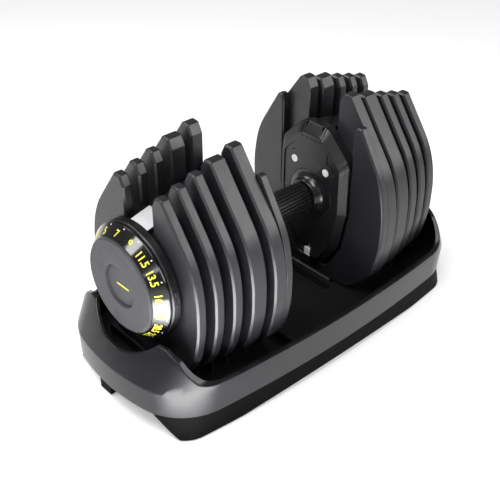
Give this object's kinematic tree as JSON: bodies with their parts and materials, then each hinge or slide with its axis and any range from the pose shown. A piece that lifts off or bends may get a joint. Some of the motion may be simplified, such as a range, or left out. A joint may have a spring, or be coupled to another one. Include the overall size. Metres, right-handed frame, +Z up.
{
  "type": "adjustable dumbbell",
  "caption": "Selector-dial adjustable dumbbell with U-shaped nesting weight plates, resting in its own storage tray.",
  "frame": {"origin": "centre of the footprint, on the floor under the tray's feet", "axes": "+X along the handle, +Y across it, +Z up"},
  "size_m": [0.4428, 0.2222, 0.2639],
  "materials": {
    "shell": "satin",
    "liner": "fine matt",
    "base": "fine matt",
    "rubber": "matt",
    "plate": "fine textured satin coating",
    "cover": "satin",
    "dial": "matt",
    "number_ring": "gloss",
    "grip": "ribbed, satin",
    "collar": "gloss",
    "steel": "machined",
    "zinc": "bright zinc",
    "white_plastic": "satin",
    "disc": "moulded",
    "index_plate": "satin light grey"
  },
  "bodies": {
    "tray": {"tray_shell": "shell", "tray_liner": "liner", "tray_base": "base", "tray_feet": "rubber", "tray_screws": "zinc"},
    "handle": {"core_bar": "steel", "grip": "grip", "end_bushes": "steel", "bar_nuts": "zinc", "cover_screws": "zinc", "end_screws": "zinc", "end_washers": "zinc", "grip_collar_left": "collar", "inner_cover_left": "cover", "support_plate_left": "steel", "bridge_left": "cover", "index_plate_left": "index_plate", "end_housing_left": "cover", "grip_collar_right": "collar", "inner_cover_right": "cover", "support_plate_right": "steel", "bridge_right": "cover", "index_plate_right": "index_plate", "end_housing_right": "cover"},
    "dial_left": {"selector_sleeve_left": "disc", "dial_cap_left": "dial", "dial_centre_left": "dial", "number_ring_left": "number_ring", "disc_left_1": "disc", "disc_left_2": "disc", "disc_left_3": "disc", "disc_left_4": "disc", "disc_left_5": "disc", "disc_left_6": "disc"},
    "lock_left": {"lock_pin_left": "white_plastic", "lock_spring_left": "zinc"},
    "plate_left_1": {"plate_left_1": "plate"},
    "plate_left_2": {"plate_left_2": "plate"},
    "plate_left_3": {"plate_left_3": "plate"},
    "plate_left_4": {"plate_left_4": "plate"},
    "plate_left_5": {"plate_left_5": "plate"},
    "plate_left_6": {"plate_left_6": "plate"},
    "dial_right": {"selector_sleeve_right": "disc", "dial_cap_right": "dial", "dial_centre_right": "dial", "number_ring_right": "number_ring", "disc_right_1": "disc", "disc_right_2": "disc", "disc_right_3": "disc", "disc_right_4": "disc", "disc_right_5": "disc", "disc_right_6": "disc"},
    "lock_right": {"lock_pin_right": "white_plastic", "lock_spring_right": "zinc"},
    "plate_right_1": {"plate_right_1": "plate"},
    "plate_right_2": {"plate_right_2": "plate"},
    "plate_right_3": {"plate_right_3": "plate"},
    "plate_right_4": {"plate_right_4": "plate"},
    "plate_right_5": {"plate_right_5": "plate"},
    "plate_right_6": {"plate_right_6": "plate"}
  },
  "joints": [
    {"name": "handle_lift", "type": "slide", "parent": "tray", "child": "handle", "axis": [0, 0, 1], "range_m": [0, 0.15]},
    {"name": "dial_left_turn", "type": "hinge", "parent": "handle", "child": "dial_left", "pos_m": [-0.19, 0, 0.142], "axis": [-1, 0, 0], "continuous": true},
    {"name": "lock_left_press", "type": "slide", "parent": "handle", "child": "lock_left", "axis": [0, 0, 1], "range_m": [0, 0.004], "stiffness_N_per_m": 300, "springref_m": -0.002, "deforming": ["lock_spring_left"]},
    {"name": "plate_left_1_lift", "type": "slide", "parent": "tray", "child": "plate_left_1", "axis": [0, 0, 1], "range_m": [0, 0.15]},
    {"name": "plate_left_2_lift", "type": "slide", "parent": "tray", "child": "plate_left_2", "axis": [0, 0, 1], "range_m": [0, 0.15]},
    {"name": "plate_left_3_lift", "type": "slide", "parent": "tray", "child": "plate_left_3", "axis": [0, 0, 1], "range_m": [0, 0.15]},
    {"name": "plate_left_4_lift", "type": "slide", "parent": "tray", "child": "plate_left_4", "axis": [0, 0, 1], "range_m": [0, 0.15]},
    {"name": "plate_left_5_lift", "type": "slide", "parent": "tray", "child": "plate_left_5", "axis": [0, 0, 1], "range_m": [0, 0.15]},
    {"name": "plate_left_6_lift", "type": "slide", "parent": "tray", "child": "plate_left_6", "axis": [0, 0, 1], "range_m": [0, 0.15]},
    {"name": "dial_right_turn", "type": "hinge", "parent": "handle", "child": "dial_right", "pos_m": [0.19, 0, 0.142], "axis": [1, 0, 0], "continuous": true},
    {"name": "lock_right_press", "type": "slide", "parent": "handle", "child": "lock_right", "axis": [0, 0, 1], "range_m": [0, 0.004], "stiffness_N_per_m": 300, "springref_m": -0.002, "deforming": ["lock_spring_right"]},
    {"name": "plate_right_1_lift", "type": "slide", "parent": "tray", "child": "plate_right_1", "axis": [0, 0, 1], "range_m": [0, 0.15]},
    {"name": "plate_right_2_lift", "type": "slide", "parent": "tray", "child": "plate_right_2", "axis": [0, 0, 1], "range_m": [0, 0.15]},
    {"name": "plate_right_3_lift", "type": "slide", "parent": "tray", "child": "plate_right_3", "axis": [0, 0, 1], "range_m": [0, 0.15]},
    {"name": "plate_right_4_lift", "type": "slide", "parent": "tray", "child": "plate_right_4", "axis": [0, 0, 1], "range_m": [0, 0.15]},
    {"name": "plate_right_5_lift", "type": "slide", "parent": "tray", "child": "plate_right_5", "axis": [0, 0, 1], "range_m": [0, 0.15]},
    {"name": "plate_right_6_lift", "type": "slide", "parent": "tray", "child": "plate_right_6", "axis": [0, 0, 1], "range_m": [0, 0.15]}
  ],
  "couplings": [
    {"joint": "plate_left_1_lift", "follows": "handle_lift", "ratio": 1},
    {"joint": "plate_left_2_lift", "follows": "handle_lift", "ratio": 1},
    {"joint": "plate_left_3_lift", "follows": "handle_lift", "ratio": 1},
    {"joint": "plate_left_4_lift", "follows": "handle_lift", "ratio": 1},
    {"joint": "plate_left_5_lift", "follows": "handle_lift", "ratio": 1},
    {"joint": "plate_left_6_lift", "follows": "handle_lift", "ratio": 1},
    {"joint": "plate_right_1_lift", "follows": "handle_lift", "ratio": 1},
    {"joint": "plate_right_2_lift", "follows": "handle_lift", "ratio": 1},
    {"joint": "plate_right_3_lift", "follows": "handle_lift", "ratio": 1},
    {"joint": "plate_right_4_lift", "follows": "handle_lift", "ratio": 1},
    {"joint": "plate_right_5_lift", "follows": "handle_lift", "ratio": 1},
    {"joint": "plate_right_6_lift", "follows": "handle_lift", "ratio": 1}
  ]
}
